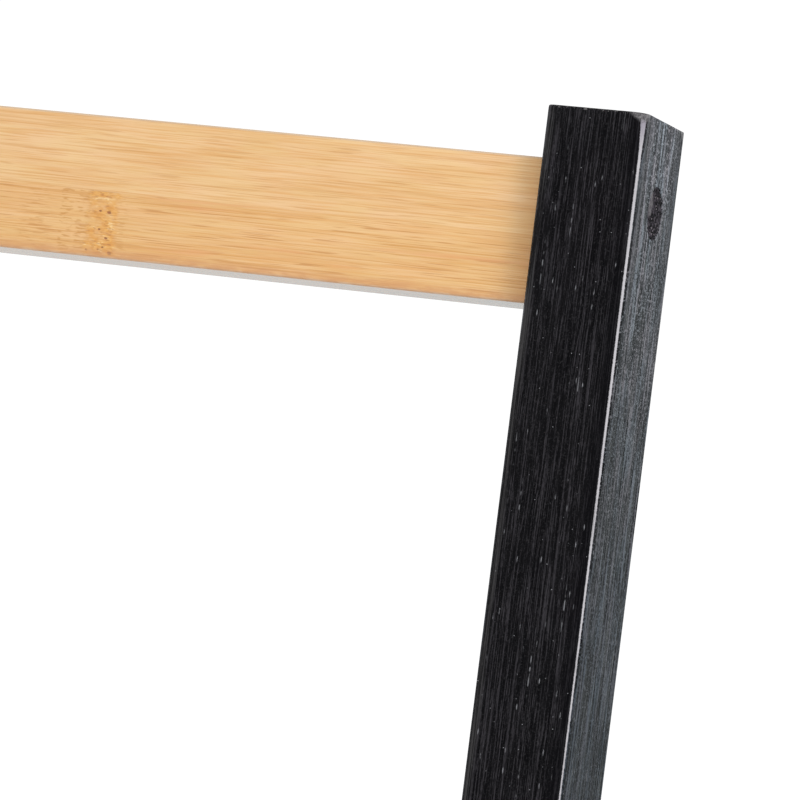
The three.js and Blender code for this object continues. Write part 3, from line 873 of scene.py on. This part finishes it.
def side_colour(g, streaks, cords, cloud):
    """Side faces: grey cords and mottle, made lighter towards the top by a painted reflection, with painted
    shade beside the front and back edges.
    """
    grey = g.coats(
        (20, 20, 23),
        ((70, 72, 77), streaks, 0.4, 0.6),
        ((122, 125, 131), cords, 0.54, 0.62, 0.9),
        ((3, 3, 6), cords, 0.48, 0.39, 0.95),
        ((130, 132, 136), g.mottle, 0.54, 0.64, 0.8),
        ((8, 8, 10), g.mottle, 0.46, 0.35, 0.85),
        ((100, 108, 106), cloud, 0.56, 0.7, 0.4),
    )
    tone = g.fibres(5, 16, 65, 2)
    grey = g.tinted(grey, g.paint((1.08, 1, 1.02, 1), (0.93, 1, 1.05, 1), tone, 0.4, 0.6))
    grey = g.coats(
        grey,
        # painted reflection: lighter near the top
        ((72, 74, 78), g.from_top, 45, 12, 0.12),
        # painted shade beside the front and back edges, stronger near the top
        ((16, 15, 18), g.from_y, 9, 2, 1, g.span(g.from_top, 45, 15, 0.08, 0.68)),
    )
    # painted reflection: the grey dimmed low down and raised towards the top, as the bright surroundings show
    # on the side at a grazing view
    painted_lift = g.add(g.ramp(g.from_top, 150, 75, 0.17, 0.46), g.ramp(g.from_top, 75, 30, 0, 0.38),
                 g.span(g.from_top, 30, 8, 0, 0.45))
    grey = g.tinted(grey, g.join(painted_lift, painted_lift, painted_lift))
    return g.paint(grey, g.tinted(grey, (0.85, 0.92, 0.99, 1)), g.from_top, 50, 120)


def with_wear_and_highlights(g, colour):
    """The colour with pale long edges, a painted highlight on the outer front one and faint rubbing on the
    rest, a painted reflection on the outer top corner, and nicks round the top's rim.
    """
    high = g.span(g.from_top, 9, 0.5)
    half = g.add(g.times(high, 0.42), g.span(g.from_top, 100, 12, 0.3, 0.4),
                 g.ramp(g.from_top, 88, 125, 0, -0.09), g.ramp(g.from_top, 150, 450, 0, -0.07),
                 g.jitter(g.mottle, 0.3))
    off_ridge = g.absolute(g.minus(g.from_x, g.from_y))
    ridge = g.times(g.span(g.minus(off_ridge, half), 0.13, -0.13), g.span(g.from_edge, 2.4, 1.5))
    ragged = g.local((0.4, 0.4, 0.12), 3, 0.6, (g.seed, 2, 6))
    start = g.add(g.from_top, g.jitter(g.mottle, 2.5))
    # painted highlight: strongest on the outer front edge, with faint rubbing on the other edges
    outer_highlight = g.times(g.span(ragged, 0.2, 0.45, 0.75, 1), g.span(start, 0.9, 2))
    highlight_and_wear = g.times(ridge, g.add(g.times(g.front_outer, outer_highlight), g.span(ragged, 0.5, 0.75, 0, 0.2)))
    colour = g.mix(highlight_and_wear, colour, g.mix(high, (178, 176, 180), (140, 135, 146)))

    # painted reflection: a grey patch on the outer top corner, which the geometry rounds more
    from_corner = g.add(g.times(g.from_edge, 1 / 3.6), g.times(g.from_top, 1 / 2.6))
    speckle = g.local((2.4, 2.4, 2.4), 2, 0.7)
    corner_reflection = g.times(g.span(from_corner, 1.2, 0.8), g.span(speckle, 0.34, 0.62, 0.25, 1))
    colour = g.mix(g.times(corner_reflection, g.outer), colour, (118, 116, 118))
    nicks = g.times(g.span(g.from_top, 0.9, 0.3), g.span(g.fibres(0.7, 0.7, 70), 0.62, 0.68))
    return g.mix(g.times(nicks, 0.6), colour, (128, 126, 126))


def with_sawn_top(g, colour):
    """The colour with end grain on the top: bundles of fibres in the stained ground."""
    inside = g.span(g.math("MINIMUM", g.from_x, g.from_y), 0.35, 0.9)
    cells = g.join(g.times(g.px, 1.5), g.times(g.py, 1.5), 0)
    chance = g.split(g.dots(cells, "Color", flat=True))[0]
    bundle = g.times(g.span(g.dots(cells, flat=True), 0.34, 0.14), g.span(chance, 0.2, 0.8))
    saw = g.local((0.15, 1.6, 0), 2, 0.6, (g.seed, 3, 0))
    sawn = g.paint((17, 16, 18), (36, 35, 37), saw, 0.4, 0.65)
    return g.paint(colour, g.mix(g.times(bundle, 0.8), sawn, (82, 80, 80)), g.from_top, 0.3, 0.1, 1, inside)


def black_bamboo(name, seed, outer_sign, top):
    """Bamboo stained black: grooves, pale pores and scratches, greyer sides with a painted reflection, and
    pale edges that are partly painted highlight.
    """
    g = UprightGraph(name, seed, outer_sign, top)
    streaks = g.fibres(1.6, 22, 50, 1, 0.6)
    cords = g.fibres(0.95, 12, 55, 1)
    cloud = g.fibres(5, 14, 60, 3, 0.55)
    dashes, dots = pale_marks(g)
    side = g.span(g.minus(g.from_x, g.from_y), 0.3, -0.1)
    colour = g.mix(side, front_colour(g), side_colour(g, streaks, cords, cloud))
    colour = g.mix(g.times(dashes, 0.8), colour, (146, 147, 152))
    colour = g.mix(g.times(dots, 0.75), colour, (160, 161, 166))
    colour = with_sawn_top(g, with_wear_and_highlights(g, colour))
    relief = g.bump(g.add(g.lines, g.times(g.hairs, 0.4)), 0.12)
    relief = g.bump(g.times(g.add(streaks, cords, -1), side), 0.45, relief)
    relief = g.bump(g.add(g.times(g.beads, 0.6), g.add(dashes, dots)), 0.04, relief)
    rough = g.span(g.add(g.times(cloud, 0.6), g.times(g.beads, 0.4)), 0.36, 0.62, 0.26, 0.46)
    g.set(Base_Color=colour, Roughness=rough, Normal=relief)
    return g.set(Specular_IOR_Level=0.042, Specular_Tint=(0.90, 0.95, 1, 1))


# The patch of a plug that is sanded flush, in millimetres from its middle
PATCH_X, PATCH_Y, PATCH_RADIUS = 1.6, -4.4, 2.7


def end_grain(name, dark, middle, bright, flush, specular):
    """A plug's end grain: bundles of fibres in a darker ground, and a patch sanded flush."""
    g = Graph(name)
    x, y, _ = g.split(g.place)
    cells = g.scaled(g.place, (1.8, 0.95, 0.4))
    chance = g.split(g.dots(cells, "Color"))
    grime = g.local((1.1, 0.9, 0.7), 4, 0.75)
    bundle = g.times(g.span(g.dots(cells), 0.46, 0.16), g.span(chance[0], 0.55, 0.85),
                     g.span(grime, 0.42, 0.6, 0.25, 1))
    pore = g.times(g.span(g.dots(cells), 0.55, 0.25), g.span(chance[1], 0.4, 0.6))
    off_x, off_y = g.times(g.add(x, -PATCH_X), 1 / PATCH_RADIUS), g.times(g.add(y, -PATCH_Y), 1 / PATCH_RADIUS)
    patch = g.span(g.add(g.square_sum(off_x, off_y), g.jitter(grime, 2.2)), 1.2, 0.6)
    colour = g.paint(dark, middle, grime, 0.44, 0.6)
    colour = g.mix(g.times(pore, 0.8), colour, dark)
    colour = g.mix(bundle, colour, bright)
    speckle = g.local((1.6, 1.1, 0.5), 2, 0.6, (7, 7, 7))
    colour = g.mix(patch, colour, g.paint(middle, flush, speckle, 0.38, 0.58))
    relief = g.bump(g.add(bundle, g.times(grime, 0.6)), 0.12)
    g.set(Base_Color=colour, Roughness=g.span(grime, 0.3, 0.7, 0.8, 0.95), Normal=relief)
    return g.set(Specular_IOR_Level=specular)


def dowel_wood():
    """Beech dowel: fluted pale wood with short fibres."""
    g = Graph("beech_dowel", worked=False)
    streaks = g.local((0.12, 2.4, 2.4), 3, 0.6)
    flecks = g.local((0.5, 5, 5), 2, 0.5, (4, 4, 4))
    colour = g.paint((221, 193, 150), (199, 164, 117), streaks, 0.35, 0.65)
    colour = g.paint(colour, (166, 124, 80), flecks, 0.6, 0.75, 0.5)
    rough = g.span(streaks, 0.3, 0.7, 0.6, 0.8)
    return g.set(Base_Color=colour, Roughness=rough, Normal=g.bump(streaks, 0.06))


def steel(name, low, high, roughness, depth, worked=True):
    """Plated steel: fine turning marks, faint scratches and blotches in the plating."""
    g = Graph(name, worked)
    x, y, _ = g.split(g.place)
    radius = g.math("SQRT", g.square_sum(x, y))
    rings = g.noise(g.join(g.times(radius, 5), 0, 0), 3, 0.7)
    blotch = g.local((0.35, 0.35, 0.35), 3, 0.55)
    scratch = g.noise(g.scaled(g.place, (6, 0.3, 0.6), (3, 5, 1)), 2, 0.5, 0.8)
    colour = g.paint(low, high, blotch, 0.35, 0.7)
    colour = g.paint(colour, (190, 190, 192), scratch, 0.66, 0.74, 0.4)
    height = g.add(g.times(rings, 0.6), g.times(scratch, -0.5))
    rough = g.add(g.span(blotch, 0.3, 0.7, roughness, roughness + 0.14), g.times(rings, 0.06))
    return g.set(Base_Color=colour, Roughness=rough, Normal=g.bump(height, depth), Metallic=1)


def nylon():
    """Pale moulded nylon with a faint mottle."""
    g = Graph("pale_nylon_washer")
    mottle = g.local((0.7, 0.7, 0.7), 3, 0.55)
    grain = g.local((7, 7, 7), 2, 0.5)
    colour = g.paint((222, 220, 211), (204, 202, 192), mottle, 0.35, 0.65)
    g.set(Base_Color=colour, Roughness=g.span(grain, 0.3, 0.7, 0.42, 0.56), Normal=g.bump(grain, 0.02))
    return g.set(Subsurface_Weight=0.1, Subsurface_Radius=(1 * MM, 1 * MM, 0.8 * MM))


def rubber():
    """Dark rubber with a fine moulded grain and dust near the floor."""
    g = Graph("pad_rubber_grain")
    grain = g.dots(g.scaled(g.place, (3.2, 3.2, 3.2)))
    dust = g.local((0.25, 0.25, 0.5), 4, 0.6)
    _, _, height = g.split(g.place)
    colour = g.paint((34, 34, 36), (46, 46, 48), dust, 0.35, 0.7)
    colour = g.paint(colour, (96, 93, 88), dust, 0.4, 0.65, 0.6, g.span(height, 1.6, 0))
    g.set(Base_Color=colour, Roughness=g.span(dust, 0.3, 0.7, 0.72, 0.9), Normal=g.bump(grain, 0.08))
    return g.set(Specular_IOR_Level=0.3)


def finish_hidden_fasteners(zinc, dowel):
    """The screws and dowels keep their solids, with worked materials."""
    for name, node in frame["nodes"].items():
        if "_screw_" in name or "_dowel_" in name:
            node.data.materials.clear()
            node.data.materials.append(zinc if "_screw_" in name else dowel)


# Stage

# The camera, fitted to the photo's edges: its place, and its axes as unit vectors
CAMERA_PLACE = Vector((0.44864826, -0.55310690, 1.03051788))
CAMERA_RIGHT = Vector((0.94103333, 0.33828650, 0.00430257))
CAMERA_DOWN = Vector((0.11066083, -0.29576447, -0.94882957))
CAMERA_AHEAD = Vector((-0.31970369, 0.89335638, -0.31575929))
LENS, SENSOR = 173.733, 36.0
WORLD_LIGHT, FLOOR_RADIUS, FLOOR_LIFT = 0.8, 14.0, 0.4
# What the rack's glossy faces see of the floor: its light at these distances from the middle, in millimetres
FALL_OFF_SPAN, FALL_OFF_LIGHT = (1200.0, 3400.0), (0.62, 1.0)
FALL_OFF_COLOUR = (0.94, 1.02, 1.05, 1.0)


def camera():
    """The photo's camera, square to the picture's axes."""
    data = bpy.data.cameras.new("camera")
    data.lens, data.sensor_width = LENS, SENSOR
    viewer = linked("camera", data)
    axes = Matrix((CAMERA_RIGHT, -CAMERA_DOWN, -CAMERA_AHEAD)).transposed().to_4x4()
    viewer.matrix_world = Matrix.Translation(CAMERA_PLACE) @ axes
    bpy.context.scene.camera = viewer


def world():
    """White where it is seen directly or in a reflection, and dimmer as light that falls on surfaces."""
    made = bpy.data.worlds.new("studio")
    made.use_nodes = True
    bpy.context.scene.world = made
    g = Nodes(made.node_tree)
    path = g.light_path()
    seen = g.most(path["Is Camera Ray"], path["Is Glossy Ray"], path["Is Transmission Ray"])
    background = g.tree.nodes["Background"]
    g.feed(background.inputs["Color"], WHITE)
    g.feed(background.inputs["Strength"], g.ramp(seen, 0.0, 1.0, WORLD_LIGHT, 1.0))


def floor():
    """A pale floor that keeps the rack's shadow, reads as white where it is lit, and is dimmer near the rack
    in the rack's own reflections."""
    ground = new_mesh("floor", circle(FLOOR_RADIUS, ROUND_STEPS), [tuple(range(ROUND_STEPS))])
    g = Graph("pale_floor", worked=False)
    g.set(Base_Color=(0.80, 0.80, 0.80, 1.0), Roughness=0.9, Specular_IOR_Level=0.0)
    path = g.light_path()
    g.set(Emission_Color=WHITE, Emission_Strength=g.times(path["Is Camera Ray"], FLOOR_LIFT))
    distance = g.node("ShaderNodeVectorMath", {0: g.place}, operation="LENGTH").outputs["Value"]
    reflected = g.ramp(distance, *FALL_OFF_SPAN, *FALL_OFF_LIGHT)
    mirror = g.node("ShaderNodeEmission", {"Color": FALL_OFF_COLOUR, "Strength": reflected}).outputs[0]
    mix = g.node("ShaderNodeMixShader", {0: path["Is Glossy Ray"], 1: g.shader.outputs[0], 2: mirror})
    g.feed(g.tree.nodes["Material Output"].inputs["Surface"], mix.outputs[0])
    ground.data.materials.append(g.material)


def softbox(name, place, target, width, height, power):
    """A rectangular light that faces its target, and that the camera doesn't see."""
    data = bpy.data.lights.new(name, "AREA")
    data.shape, data.size, data.size_y, data.energy = "RECTANGLE", width, height, power
    lamp = linked(name, data)
    lamp.location = place
    lamp.rotation_mode = "QUATERNION"
    lamp.rotation_quaternion = (Vector(target) - Vector(place)).to_track_quat("-Z", "Y")
    lamp.visible_camera = False


def lights():
    """A broad soft light overhead, and a narrow one that brightens the outer side face."""
    softbox("overhead_softbox", (-0.3, -0.9, 2.6), (0, 0.1, 0.7), width=2.4, height=2.0, power=1.5)
    softbox("side_softbox", (1.58, -0.56, 1.09), (0.2, 0.12, 0.8), width=0.5, height=1.3, power=15)


# The rack

# The pits in the top rail's front knot: x, z from the rail's middle, radius
TOP_RAIL_PITS = (
    (139.7, -5.2, 0.28), (137.8, -5.0, 0.16), (138.0, -8.7, 0.16), (139.7, -10.4, 0.2),
    (139.2, -12.3, 0.14), (138.2, -12.8, 0.16), (135.7, -13.1, 0.2), (140.9, -13.4, 0.34),
)

natural = {
    "outer_top_rail": bamboo("bamboo_a", 1.0, (138.3, 20.0), RAIL_REACH["outer"], pits=TOP_RAIL_PITS),
    "outer_second_rail": bamboo("bamboo_b", 2.0, (-70.0, 85.0), RAIL_REACH["outer"], 2.0),
    "inner_top_rail": bamboo("bamboo_c", 3.0, (60.0, -40.0), RAIL_REACH["inner"], 1.0),
    "inner_foot_rail": bamboo("bamboo_d", 4.0, (-120.0, 15.0), RAIL_REACH["inner"], -2.0),
    "stop_rail": bamboo("bamboo_e", 5.0, (100.0, -30.0), NO_MEETING, 0.5),
}
for seed, (name, side) in enumerate(POSTS, 1):
    letter = "abcd"[seed - 1]
    wood = black_bamboo(f"black_bamboo_{letter}", seed, SIDES[side], UPRIGHT_TOP[name] / MM)
    upright(name, side, wood)
for name in FRAMES:
    for node, station in rail_stations(name).items():
        rail(name, node, station, natural[node])
stop_rail(natural["stop_rail"])
plugs(
    end_grain("stained_end_grain", dark=(2, 2, 3), middle=(66, 62, 68), bright=(158, 149, 156),
              flush=(100, 98, 100), specular=0.05),
    end_grain("natural_end_grain", dark=(176, 128, 78), middle=(196, 150, 98), bright=(222, 184, 136),
              flush=(214, 172, 120), specular=0.25),
)
pivots(steel("black_steel_finish", (52, 53, 56), (70, 71, 74), roughness=0.34, depth=0.012), nylon())
foot_pads(rubber())
zinc = steel("zinc_plate", (178, 180, 178), (202, 203, 200), roughness=0.28, depth=0.02, worked=False)
finish_hidden_fasteners(zinc, dowel_wood())

world()
floor()
lights()
camera()
bpy.context.scene.view_settings.view_transform = "Standard"
